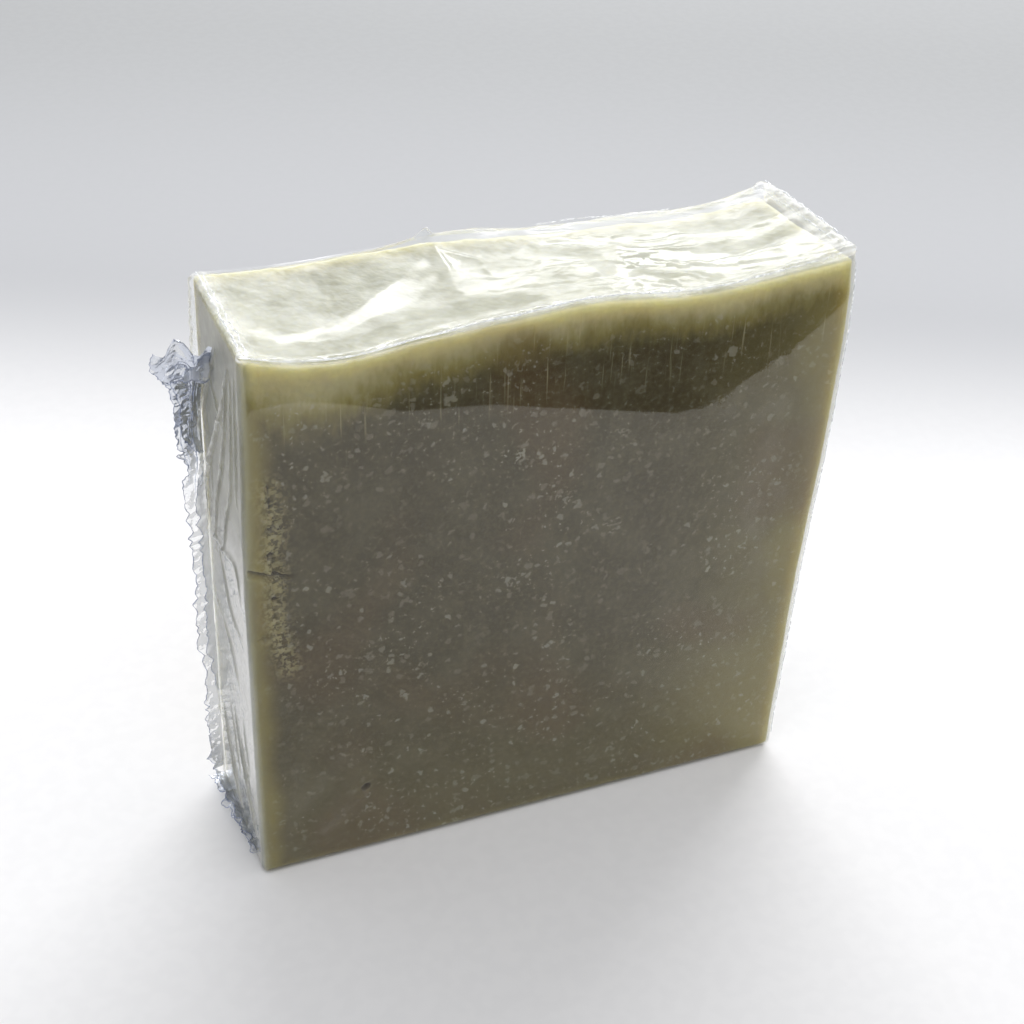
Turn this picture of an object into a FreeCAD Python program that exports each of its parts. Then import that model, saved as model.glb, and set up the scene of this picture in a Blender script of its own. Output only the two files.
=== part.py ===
import FreeCAD, Part
import math
import os

import Sketcher

# Bar of handmade soap, standing on its lower edge in a tight wrapping of clear film.
# Millimetres, +Z up. The origin lies on the pack's underside, below the middle of the soap.
# The cut front face looks along -Y. The left end, along -X, carries the film's two ruffled seals.

os.makedirs("parts", exist_ok=True)
doc = FreeCAD.newDocument("WrappedSoapBar")

# Driving dimensions
SIZES = {
    "soap_width": 76.0,
    "soap_thickness": 21.0,
    "soap_height": 78.0,
    "soap_edge_radius": 0.8,
    "soap_foot_bevel": 0.5,
    "bubble_diameter": 1.2,
    "bubble_depth": 1.1,
    "bubble_from_left": 14.1,
    "bubble_from_foot": 11.0,
    "fissure_from_left": 2.6,
    "fissure_from_foot": 34.0,
    "fissure_length": 24.0,
    "fissure_width": 0.6,
    "fissure_wander": 0.7,
    "fissure_depth": 0.7,
    "crack_from_foot": 48.0,
    "crack_length": 4.4,
    "crack_width": 0.5,
    "film_thickness": 0.1,
    "film_gap": 0.05,
    "film_lift_front": 0.15,
    "film_lift_middle": 1.3,
    "film_lift_back": 0.9,
    "film_end_slack": 1.1,
    "film_ridge_height": 0.9,
    "seal_thickness": 0.2,
    "seal_scallop": 0.5,
    "side_seal_from_back": 1.6,
    "side_seal_from_foot": 3.0,
    "side_seal_below_top": 3.0,
    "side_seal_reach": 2.1,
    "side_seal_ruffle": 0.9,
    "side_seal_waves": 15,
    "inner_flap_from_side_seal": 0.7,
    "inner_flap_from_foot": 18.0,
    "inner_flap_length": 33.0,
    "inner_flap_reach": 1.2,
    "inner_flap_ruffle": 0.5,
    "inner_flap_waves": 9,
    "inner_flap_lean": 20.0,
    "ear_reach": 3.4,
    "ear_below_top": 7.5,
    "ear_spread": 4.0,
    "foot_seal_from_foot": 1.2,
    "foot_seal_from_faces": 1.8,
    "foot_seal_reach": 0.9,
    "foot_seal_ruffle": 0.5,
    "foot_seal_waves": 5,
    "pleat_count": 4,
    "pleat_below_top": 4.0,
    "pleat_length": 27.0,
    "pleat_rise": 0.45,
    "pleat_width": 1.0,
    "pleat_from_front": 2.5,
    "pleat_spacing": 1.8,
    "pleat_lean": 5.0,
    "pleat_spread": 1.6,
}

# Height of the poured top above soap_height, as curve poles evenly spaced from left to right
TOP_WAVES = {
    "front": (1.4, -3.7, -0.7, -1.1, 1.0, -2.2, 0.0, 0.8),
    "middle": (0.6, -2.6, -1.6, -0.8, -1.0, -1.3, -1.9, 0.8),
    "back": (0.7, -0.3, 0.5, 0.6, -0.9, -0.8, -1.9, 1.2),
}
WAVE_POLES = len(TOP_WAVES["front"])
CURVE_DEGREE = 3

# How far the cut of the top runs past the block it trims, and how high the uncut block stands
SIDE_OVERRUN = 4.0
FACE_OVERRUN = 1.0
UNCUT_HEIGHT = 8.0
EDGE_MATCH = 0.001

for row_name, heights in TOP_WAVES.items():
    for place, height in enumerate(heights):
        SIZES[f"{row_name}_wave_{place}"] = height

sheet = doc.addObject("Spreadsheet::Sheet", "Sizes")
for row, (alias, value) in enumerate(SIZES.items(), start=1):
    sheet.set(f"A{row}", alias)
    sheet.set(f"B{row}", str(value))
    sheet.setAlias(f"B{row}", alias)
doc.recompute()

HALF_WIDTH = "Sizes.soap_width / 2"
HALF_THICKNESS = "Sizes.soap_thickness / 2"
SOAP_FOOT = "Sizes.film_thickness"
START, END, CENTRE = 1, 2, 3
SKETCH_ORIGIN = -1

# Form of the ruffled seals: creases in each wave and across, scallops of the cut edge for each wave,
# and how far and how often the ruffle swells and its waves bunch up along the seal
OUTWARD = FreeCAD.Vector(-1, 0, 0)
CREASES_PER_WAVE = 4
SEAL_FOLDS = 2
SCALLOPS_PER_WAVE = 1.6
SCALLOP_PHASE = 1.0
SWELL_SHARE = 0.3
SWELLS = 2.3
BUNCHES = 3

# Share of a pleat's length at which it is widest and highest
CREST_SHARE = 0.3


def size(name):
    """Value of one cell of the sheet."""
    return float(sheet.get(name))


def new_sketch(body, name, role, offset):
    """An empty sketch on one of a body's own origin planes, moved along that plane's normal."""
    sketch = body.newObject("Sketcher::SketchObject", name)
    plane = next(item for item in body.Origin.OriginFeatures if item.Role == role)
    sketch.AttachmentSupport = [(plane, "")]
    sketch.MapMode = "FlatFace"
    sketch.setExpression("AttachmentOffset.Base.z", offset)
    return sketch


def measure(sketch, kind, expression, *place):
    """A dimension of a sketch that follows an expression of the sheet."""
    index = sketch.addConstraint(Sketcher.Constraint(kind, *place))
    sketch.setExpression(f"Constraints[{index}]", expression)


def fix_point(sketch, geometry, point, across, up, rough):
    """Holds a point of a sketch at two expressions, starting from a rough place."""
    measure(sketch, "DistanceX", across, SKETCH_ORIGIN, START, geometry, point, rough.x)
    measure(sketch, "DistanceY", up, SKETCH_ORIGIN, START, geometry, point, rough.y)


def outline(sketch, corners):
    """A closed outline of straight lines through corners, each a pair of expressions."""
    rough = [FreeCAD.Vector(sheet_value(across), sheet_value(up), 0) for across, up in corners]
    count = len(corners)
    for number in range(count):
        sketch.addGeometry(Part.LineSegment(rough[number], rough[(number + 1) % count]))
    for number, (across, up) in enumerate(corners):
        before = (number - 1) % count
        sketch.addConstraint(Sketcher.Constraint("Coincident", before, END, number, START))
        fix_point(sketch, number, START, across, up, rough[number])


def sheet_value(expression):
    """Number that an expression of the sheet has now."""
    return float(sheet.evalExpression(expression.replace("Sizes.", "")))


def top_section(body, name, offset, heights):
    """The waste above the poured top in one upright section: a wavy lower side and straight other sides."""
    left = f"-({HALF_WIDTH} + {SIDE_OVERRUN})"
    right = f"{HALF_WIDTH} + {SIDE_OVERRUN}"
    roof = f"{SOAP_FOOT} + Sizes.soap_height + {2 * UNCUT_HEIGHT}"
    last = WAVE_POLES - 1
    across = [f"({HALF_WIDTH} + {SIDE_OVERRUN}) * {2 * place / last - 1}" for place in range(WAVE_POLES)]
    poles = [FreeCAD.Vector(sheet_value(x), sheet_value(z), 0) for x, z in zip(across, heights)]
    roof_left = FreeCAD.Vector(sheet_value(left), sheet_value(roof), 0)
    roof_right = FreeCAD.Vector(sheet_value(right), sheet_value(roof), 0)

    sketch = new_sketch(body, name, "XZ_Plane", offset)
    roof_line = sketch.addGeometry(Part.LineSegment(roof_right, roof_left))
    left_line = sketch.addGeometry(Part.LineSegment(roof_left, poles[0]))
    right_line = sketch.addGeometry(Part.LineSegment(poles[-1], roof_right))
    wave = sketch.addGeometry(Part.BSplineCurve(poles, None, None, False, CURVE_DEGREE, None, False))
    sketch.addConstraint(Sketcher.Constraint("Coincident", roof_line, END, left_line, START))
    sketch.addConstraint(Sketcher.Constraint("Coincident", right_line, END, roof_line, START))
    sketch.addConstraint(Sketcher.Constraint("Coincident", left_line, END, wave, START))
    sketch.addConstraint(Sketcher.Constraint("Coincident", wave, END, right_line, START))
    fix_point(sketch, left_line, START, left, roof, roof_left)
    fix_point(sketch, right_line, END, right, roof, roof_right)
    sketch.exposeInternalGeometry(wave)
    for place in range(WAVE_POLES):
        fix_point(sketch, wave + 1 + place, CENTRE, across[place], heights[place], poles[place])
    return sketch


def edge_names(shape, test):
    """Names of the edges of a shape whose bounding boxes pass a test."""
    return [f"Edge{number}" for number, edge in enumerate(shape.Edges, start=1) if test(edge.BoundBox)]


def block(name, grow, foot, end_slack, lifts, ridge):
    """A cut slab with rounded edges below a poured top, grown outwards and trimmed at lifted heights."""
    body = doc.addObject("PartDesign::Body", name)
    left = f"-({HALF_WIDTH} + {grow})"
    right = f"{HALF_WIDTH} + {grow} + {end_slack}"
    front = f"-({HALF_THICKNESS} + {grow})"
    back = f"{HALF_THICKNESS} + {grow}"

    plan = new_sketch(body, f"{name}Plan", "XY_Plane", foot)
    outline(plan, [(left, front), (right, front), (right, back), (left, back)])
    slab = body.newObject("PartDesign::Pad", f"{name}Slab")
    slab.Profile = plan
    slab.setExpression("Length", f"Sizes.soap_height + {UNCUT_HEIGHT}")
    doc.recompute()

    uprights = body.newObject("PartDesign::Fillet", f"{name}Uprights")
    uprights.Base = (slab, edge_names(slab.Shape, lambda box: box.ZLength > size("soap_height")))
    uprights.setExpression("Radius", f"Sizes.soap_edge_radius + {grow}")
    doc.recompute()

    foot_level = sheet_value(foot)
    bevel = body.newObject("PartDesign::Chamfer", f"{name}Foot")
    bevel.Base = (uprights, edge_names(uprights.Shape, lambda box: abs(box.ZMax - foot_level) < EDGE_MATCH))
    bevel.setExpression("Size", "Sizes.soap_foot_bevel")
    doc.recompute()

    offsets = {"front": f"{HALF_THICKNESS} + {FACE_OVERRUN}", "middle": "0"}
    offsets["back"] = f"-({offsets['front']})"
    sections = []
    for row_name, offset in offsets.items():
        level = f"{SOAP_FOOT} + Sizes.soap_height + {lifts[row_name]}"
        heights = [f"{level} + Sizes.{row_name}_wave_{place}" for place in range(WAVE_POLES)]
        heights[-1] = f"{heights[-1]} + {ridge}"
        sections.append(top_section(body, f"{name}Top{row_name.title()}", offset, heights))
    top = body.newObject("PartDesign::SubtractiveLoft", f"{name}PouredTop")
    top.Profile = (sections[0], [""])
    top.Sections = [(section, [""]) for section in sections[1:]]
    doc.recompute()
    return body


def pocket(body, name, corners, depth):
    """A pocket cut into the front face along a straight-sided outline."""
    sketch = new_sketch(body, f"{name}Outline", "XZ_Plane", HALF_THICKNESS)
    outline(sketch, corners)
    return cut_front(body, name, sketch, depth)


def cut_front(body, name, sketch, depth):
    """Cuts a sketch of the front face to a depth and checks that it removed material."""
    before = body.Shape.Volume
    feature = body.newObject("PartDesign::Pocket", name)
    feature.Profile = sketch
    feature.setExpression("Length", depth)
    doc.recompute()
    if not body.Shape.Volume < before:
        raise RuntimeError(f"{name} cut nothing")
    return feature


# Soap bar
def make_soap():
    """The slab with its air bubble, the crumbled fissure down its left edge and the crack across that."""
    no_lift = {row_name: "0" for row_name in TOP_WAVES}
    body = block("Soap", "0", SOAP_FOOT, "0", no_lift, "0")
    body.Label = "soap_bar"

    bubble = new_sketch(body, "BubbleOutline", "XZ_Plane", HALF_THICKNESS)
    across = f"Sizes.bubble_from_left - {HALF_WIDTH}"
    up = f"{SOAP_FOOT} + Sizes.bubble_from_foot"
    centre = FreeCAD.Vector(sheet_value(across), sheet_value(up), 0)
    upright = FreeCAD.Vector(0, 0, 1)
    circle = bubble.addGeometry(Part.Circle(centre, upright, size("bubble_diameter") / 2))
    fix_point(bubble, circle, CENTRE, across, up, centre)
    measure(bubble, "Diameter", "Sizes.bubble_diameter", circle, size("bubble_diameter"))
    cut_front(body, "Bubble", bubble, "Sizes.bubble_depth")

    # Share of the wander and of the width at each station, from the fissure's foot to its top
    lower = ((1.0, 0.3), (0.2, 1.0), (0.6, 0.5), (-0.2, 1.2))
    upper = ((-0.6, 0.7), (0.1, 1.4), (-0.4, 1.1), (-0.1, 0.3))
    stations = lower + upper
    last = len(stations) - 1
    left_side = []
    right_side = []
    for number, (wander, width) in enumerate(stations):
        middle = f"Sizes.fissure_from_left - {HALF_WIDTH} + Sizes.fissure_wander * {wander}"
        half = f"Sizes.fissure_width * {width / 2}"
        up = f"{SOAP_FOOT} + Sizes.fissure_from_foot + Sizes.fissure_length * {number / last}"
        left_side.append((f"{middle} - {half}", up))
        right_side.append((f"{middle} + {half}", up))
    pocket(body, "Fissure", left_side + right_side[::-1], "Sizes.fissure_depth")

    crack_level = f"{SOAP_FOOT} + Sizes.crack_from_foot"
    mouth = f"-{HALF_WIDTH}"
    corners = [
        (mouth, f"{crack_level} - Sizes.crack_width / 2"),
        (f"Sizes.crack_length - {HALF_WIDTH}", f"{crack_level} - Sizes.crack_width"),
        (mouth, f"{crack_level} + Sizes.crack_width / 2"),
    ]
    pocket(body, "Crack", corners, "Sizes.fissure_depth")
    return body


# Clear film
def make_shell():
    """The film round the slab: tight on its faces, bridging the hollows of its top, slack at one end."""
    lifts = {row_name: f"Sizes.film_lift_{row_name}" for row_name in TOP_WAVES}
    outer_lifts = {row_name: f"{lift} + Sizes.film_thickness" for row_name, lift in lifts.items()}
    slack = "Sizes.film_end_slack"
    ridge = "Sizes.film_ridge_height"
    cavity = block("FilmInside", "Sizes.film_gap", SOAP_FOOT, slack, lifts, ridge)
    outside_grow = "(Sizes.film_gap + Sizes.film_thickness)"
    outside = block("FilmOutside", outside_grow, "0", slack, outer_lifts, ridge)
    shell = doc.addObject("Part::Cut", "FilmShell")
    shell.Base = outside
    shell.Tool = cavity
    doc.recompute()
    return shell


def wall_middle():
    """Place across the bar of the middle of the film on the left end."""
    return -(size("soap_width") / 2 + size("film_gap") + size("film_thickness") / 2)


def creased_face(near_row, far_row):
    """Two triangles for each pair of neighbouring points of two rows, as stiff film creases."""
    faces = []
    for number in range(len(near_row) - 1):
        corner, opposite = near_row[number], far_row[number + 1]
        for side in (near_row[number + 1], far_row[number]):
            faces.append(Part.Face(Part.makePolygon([corner, side, opposite, corner])))
    return faces


def ruffled_seal(name, root_start, root_end, outward, reach_at, ruffle, waves):
    """A gathered seal: a thin sheet that stands out of its straight root and waves to and fro about it."""
    ruffle_way = outward.cross(root_end - root_start).normalize()
    rows = CREASES_PER_WAVE * waves + 1
    half_sheet = ruffle_way * (size("seal_thickness") / 2)
    sheets = []
    for face_way in (-1, 1):
        grid = []
        for row in range(rows):
            along = row / (rows - 1)
            turn = 2 * math.pi * along
            root = root_start + (root_end - root_start) * along + half_sheet * face_way
            scallop = math.sin(SCALLOPS_PER_WAVE * waves * turn + SCALLOP_PHASE)
            reach = reach_at(root) + size("seal_scallop") * scallop
            swell = 1 - SWELL_SHARE * (1 - math.sin(SWELLS * turn))
            swing = ruffle * swell * math.sin(waves * turn + math.sin(BUNCHES * turn))
            step = (outward * reach + ruffle_way * swing) * (1 / SEAL_FOLDS)
            grid.append([root + step * fold for fold in range(SEAL_FOLDS + 1)])
        sheets.append(grid)
    faces = []
    for grid in sheets:
        for near_row, far_row in zip(grid, grid[1:]):
            faces += creased_face(near_row, far_row)
    near, far = sheets
    for row in (0, -1):
        faces += creased_face(near[row], far[row])
    for fold in (0, -1):
        faces += creased_face([row[fold] for row in near], [row[fold] for row in far])
    seal = doc.addObject("Part::Feature", name)
    seal.Shape = Part.Solid(Part.Shell(faces))
    return seal


def make_side_seal():
    """The seal that runs down the back edge of the left end and flares into an ear near its top."""
    top = size("film_thickness") + size("soap_height")
    depth = size("soap_thickness") / 2 - size("side_seal_from_back")
    root_start = FreeCAD.Vector(wall_middle(), depth, size("side_seal_from_foot"))
    root_end = FreeCAD.Vector(wall_middle(), depth, top - size("side_seal_below_top"))

    def reach_at(root):
        from_ear = (root.z - (top - size("ear_below_top"))) / size("ear_spread")
        return size("side_seal_reach") + size("ear_reach") * math.exp(-(from_ear**2))

    waves = int(size("side_seal_waves"))
    ruffle = size("side_seal_ruffle")
    return ruffled_seal("SideSeal", root_start, root_end, OUTWARD, reach_at, ruffle, waves)


def make_inner_flap():
    """The shorter ruffled flap beside the side seal, leaning to the front."""
    depth = size("soap_thickness") / 2 - size("side_seal_from_back") - size("inner_flap_from_side_seal")
    foot = size("inner_flap_from_foot")
    root_start = FreeCAD.Vector(wall_middle(), depth, foot)
    root_end = FreeCAD.Vector(wall_middle(), depth, foot + size("inner_flap_length"))
    lean = math.radians(size("inner_flap_lean"))
    outward = FreeCAD.Vector(-math.cos(lean), -math.sin(lean), 0)
    reach = size("inner_flap_reach")
    ruffle = size("inner_flap_ruffle")
    waves = int(size("inner_flap_waves"))
    return ruffled_seal("InnerFlap", root_start, root_end, outward, lambda root: reach, ruffle, waves)


def make_foot_seal():
    """The short seal along the foot of the left end."""
    depth = size("soap_thickness") / 2 - size("foot_seal_from_faces")
    height = size("foot_seal_from_foot")
    root_start = FreeCAD.Vector(wall_middle(), -depth, height)
    root_end = FreeCAD.Vector(wall_middle(), depth, height)
    reach = size("foot_seal_reach")
    ruffle = size("foot_seal_ruffle")
    waves = int(size("foot_seal_waves"))
    return ruffled_seal("FootSeal", root_start, root_end, OUTWARD, lambda root: reach, ruffle, waves)


def make_pleats():
    """Tapering folds that fan out on the left end from its front top corner, leaning towards the seal."""
    pleats = []
    half_width = size("pleat_width") / 2
    wall = wall_middle()
    front = -size("soap_thickness") / 2
    rise = size("film_thickness") / 2 + size("pleat_rise")
    for number in range(int(size("pleat_count"))):
        top_depth = front + size("pleat_from_front") + number * size("pleat_spacing")
        foot_depth = top_depth + size("pleat_lean") + number * size("pleat_spread")
        top_height = size("soap_height") - size("pleat_below_top")
        foot_height = top_height - size("pleat_length")
        crest_depth = top_depth + (foot_depth - top_depth) * CREST_SHARE
        crest_height = top_height + (foot_height - top_height) * CREST_SHARE
        near = FreeCAD.Vector(wall, crest_depth - half_width, crest_height)
        far = FreeCAD.Vector(wall, crest_depth + half_width, crest_height)
        top = FreeCAD.Vector(wall, top_depth, top_height)
        foot = FreeCAD.Vector(wall, foot_depth, foot_height)
        crest = FreeCAD.Vector(wall, crest_depth, crest_height) + OUTWARD * rise
        corners = [top, near, foot, far]
        walls = [Part.Face(Part.makePolygon(corners + [top]))]
        for start, end in zip(corners, corners[1:] + corners[:1]):
            walls.append(Part.Face(Part.makePolygon([start, end, crest, start])))
        pleat = doc.addObject("Part::Feature", "Pleat")
        pleat.Shape = Part.Solid(Part.Shell(walls))
        pleats.append(pleat)
    return pleats


def make_film():
    """The whole wrapping as one piece: shell, seals and pleats."""
    film = doc.addObject("Part::MultiFuse", "FilmWrap")
    film.Label = "film_wrap"
    film.Shapes = [make_shell(), make_side_seal(), make_inner_flap(), make_foot_seal()] + make_pleats()
    doc.recompute()
    return film


subparts = [make_soap(), make_film()]
doc.recompute()

for item in doc.Objects:
    if "Invalid" in item.State or "Error" in item.State:
        raise RuntimeError(f"{item.Label} failed: {item.State}")
for part in subparts:
    if part.Shape.isNull() or not part.Shape.isValid():
        raise RuntimeError(f"{part.Label} has no valid shape")
    part.Shape.exportStep(f"parts/{part.Label}.step")
    print(part.Label, "volume", round(part.Shape.Volume, 1), "box", part.Shape.BoundBox)
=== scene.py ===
import math

import bpy
import numpy as np
from mathutils import Matrix, Vector, noise
from mathutils.bvhtree import BVHTree


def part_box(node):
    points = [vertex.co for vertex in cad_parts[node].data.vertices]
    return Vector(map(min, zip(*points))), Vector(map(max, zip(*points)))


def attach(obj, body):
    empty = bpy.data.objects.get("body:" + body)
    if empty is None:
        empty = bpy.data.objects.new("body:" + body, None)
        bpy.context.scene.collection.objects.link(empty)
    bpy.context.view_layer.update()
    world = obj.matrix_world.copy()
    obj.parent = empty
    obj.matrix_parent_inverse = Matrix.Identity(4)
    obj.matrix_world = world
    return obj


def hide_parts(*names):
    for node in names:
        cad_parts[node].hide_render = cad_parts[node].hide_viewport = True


# Bar of handmade soap in clear film. Lengths below are millimetres until a mesh is made, metres after.
MM = 0.001
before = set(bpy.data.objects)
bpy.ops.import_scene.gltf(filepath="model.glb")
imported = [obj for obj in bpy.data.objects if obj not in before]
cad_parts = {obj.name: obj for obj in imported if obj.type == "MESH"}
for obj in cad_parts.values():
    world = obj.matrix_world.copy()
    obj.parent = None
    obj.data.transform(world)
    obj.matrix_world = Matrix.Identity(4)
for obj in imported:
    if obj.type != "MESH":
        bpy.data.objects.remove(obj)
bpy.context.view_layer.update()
ROOT = "root"

# The photograph's camera, fitted to the slab's corners
CAMERA_PLACE = (-78.90, -178.53, 174.02)
CAMERA_AZIMUTH = math.radians(-23.81)
CAMERA_ELEVATION = math.radians(33.90)
CAMERA_ROLL = math.radians(2.64)
CAMERA_LENS = 63.15

# The slab and the film, as the frame gives them
soap_low, soap_high = (np.array(corner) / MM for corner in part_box("soap_bar"))
film_low, film_high = (np.array(corner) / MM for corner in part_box("film_wrap"))
HALF_WIDTH = soap_high[0]
HALF_THICKNESS = soap_high[1]
FILM_SKIN = film_high[1] - soap_high[1]
FILM_LEFT = soap_low[0] - FILM_SKIN
FILM_RIGHT = soap_high[0] + 0.4
EDGE_RADIUS = 0.8
CORNER_INSET = 0.3
TOP_CLEARANCE = 0.12
FILM_INSET = np.array([soap_low[0] - film_low[0] - 0.1, 0, 0])
SHEET_LOW = np.array([FILM_LEFT, film_low[1], film_low[2]])
SHEET_HIGH = np.array([FILM_RIGHT, film_high[1], soap_high[2]])

# Names of the values stored at the meshes' points
BELOW_TOP = "below_top"
CRUMBLED = "crumbled"
HOLLOW_SHADE = "painted_hollow_shade"
GATHERED = "gathered"
DULLED = "dulled"
ACROSS = "across"


def cad_tree(node):
    """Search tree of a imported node's mesh, in metres."""
    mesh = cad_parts[node].data
    return BVHTree.FromPolygons([v.co for v in mesh.vertices], [tuple(p.vertices) for p in mesh.polygons])


soap_tree = cad_tree("soap_bar")
film_tree = cad_tree("film_wrap")


def top_of(tree, x, y):
    """Height of a node's top surface above one place, in millimetres."""
    hit = tree.ray_cast(Vector((x * MM, y * MM, 1.0)), Vector((0, 0, -1)))[0]
    return hit.z / MM


def inside_soap(places):
    """Places across and back, moved to where the soap's top surface can be measured."""
    return np.clip(places, soap_low[:2] + CORNER_INSET, soap_high[:2] - CORNER_INSET)


def smooth_step(value, start, end):
    """0 before start, 1 after end, eased between."""
    share = np.clip((value - start) / (end - start), 0, 1)
    return share * share * (3 - 2 * share)


# Height and how far the front edge of each hand-cut end stands out there
RIGHT_LEAN = (
    (5, 0), (12, 0.2), (20, 0.4), (30, 0.65), (40, 1.2), (49, 1.8), (58, 2.1), (67, 2.35), (74, 2.2),
    (79, 1.7),
)
LEFT_LEAN = ((3, 0.2), (15, 0.35), (30, 0.45), (45, 0.55), (58, 0.3), (66, 0.1), (75, 0))


def cut_lean(points):
    """How far the hand-cut ends stand out of square towards the front face, at each place."""
    x, y, z = points.T
    to_front = np.clip((HALF_THICKNESS - y) / (2 * HALF_THICKNESS), 0, 1)
    right = np.interp(z, *zip(*RIGHT_LEAN)) * smooth_step(x, 20, HALF_WIDTH)
    left = np.interp(z, *zip(*LEFT_LEAN)) * smooth_step(-x, 24, HALF_WIDTH)
    return to_front * (right - left)


def spaced(low, high, step, finer=()):
    """Grid places from low to high, closer together near both ends and inside the finer spans."""
    spans = [(low, low + 1.2, 0.2), (high - 1.2, high, 0.2)] + list(finer)
    places = [low]
    while places[-1] < high:
        here = places[-1]
        wanted = [fine for start, end, fine in spans if start - 1e-9 <= here < end] + [step]
        places.append(here + min(wanted))
    places[-1] = high
    return places


def lattice_shell(xs, ys, zs, sides=("front", "back", "left", "right", "top", "foot")):
    """Points and outward quads of some sides of a box, all on one lattice."""
    index = {}
    points = []

    def at(i, j, k):
        if (i, j, k) not in index:
            index[(i, j, k)] = len(points)
            points.append((xs[i], ys[j], zs[k]))
        return index[(i, j, k)]

    last_x, last_y, last_z = len(xs) - 1, len(ys) - 1, len(zs) - 1
    turned = {
        "foot": (last_x, last_y, lambda i, j: (i, j, 0), True),
        "top": (last_x, last_y, lambda i, j: (i, j, last_z), False),
        "front": (last_x, last_z, lambda i, k: (i, 0, k), False),
        "back": (last_x, last_z, lambda i, k: (i, last_y, k), True),
        "left": (last_y, last_z, lambda j, k: (0, j, k), True),
        "right": (last_y, last_z, lambda j, k: (last_x, j, k), False),
    }
    quads = []
    for side in sides:
        columns, rows, place, flipped = turned[side]
        for a in range(columns):
            for b in range(rows):
                ring = [place(a, b), place(a + 1, b), place(a + 1, b + 1), place(a, b + 1)]
                quads.append([at(*corner) for corner in (ring[::-1] if flipped else ring)])
    return np.array(points), quads


def rounded(points, low, high, radius):
    """Points of a box's surface moved onto the same box with rounded edges, and their outward directions."""
    inner = np.clip(points, low + radius, high - radius)
    outward = points - inner
    length = np.linalg.norm(outward, axis=1, keepdims=True)
    outward = outward / np.where(length > 0, length, 1)
    return inner + outward * radius, outward


def make_piece(name, points, quads, materials, shades=None):
    """A smooth-shaded piece from points in millimetres, riding on the pack, with values at its points."""
    mesh = bpy.data.meshes.new(name)
    mesh.from_pydata([tuple(p) for p in np.asarray(points) * MM], [], quads)
    mesh.shade_smooth()
    for material in materials:
        mesh.materials.append(material)
    for key, values in (shades or {}).items():
        attribute = mesh.attributes.new(key, "FLOAT", "POINT")
        attribute.data.foreach_set("value", np.asarray(values, dtype=float))
    piece = bpy.data.objects.new(name, mesh)
    bpy.context.scene.collection.objects.link(piece)
    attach(piece, ROOT)
    return piece


def smooth_path(path, steps=6):
    """A path through the same places with rounded turns."""
    places = np.array([path[0]] + list(path) + [path[-1]], dtype=float)
    out = []
    for before, start, end, after in zip(places, places[1:], places[2:], places[3:]):
        for step in range(steps):
            t = step / steps
            bend = 2 * before - 5 * start + 4 * end - after
            twist = 3 * start - before - 3 * end + after
            out.append(start + 0.5 * t * ((end - before) + t * (bend + t * twist)))
    out.append(places[-1])
    return np.array(out)


def near_path(across, up, path):
    """Distance from places on a face to a path, and how far along the path they lie, from 0 to 1."""
    nearest = np.full(len(across), 1e9)
    share = np.zeros(len(across))
    runs = len(path) - 1
    for number, ((ax, az), (bx, bz)) in enumerate(zip(path, path[1:])):
        run = (bx - ax) ** 2 + (bz - az) ** 2
        along = np.clip(((across - ax) * (bx - ax) + (up - az) * (bz - az)) / run, 0, 1)
        gap = np.hypot(across - ax - along * (bx - ax), up - az - along * (bz - az))
        share = np.where(gap < nearest, (number + along) / runs, share)
        nearest = np.minimum(nearest, gap)
    return nearest, share


def folds(across, up, table):
    """Height of a face's folds: each is a path, its height and its half width, and tapers to its ends."""
    height = np.zeros(len(across))
    for path, crest, width in table:
        gap, share = near_path(across, up, smooth_path(path))
        height += crest * np.exp(-((gap / width) ** 1.4)) * np.sin(np.pi * np.clip(share, 0.04, 0.96)) ** 0.5
    return height


def noise_of(points, scale, seed=0.0):
    """Smooth noise from -1 to 1 at each point, with features of about 1/scale millimetres."""
    return np.array([noise.noise(Vector((p[0] * scale + seed, p[1] * scale, p[2] * scale))) for p in points])


# How far a flattened texture moves across and up for each step back
SLANT_ACROSS = 0.45
SLANT_UP = 0.9


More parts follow.
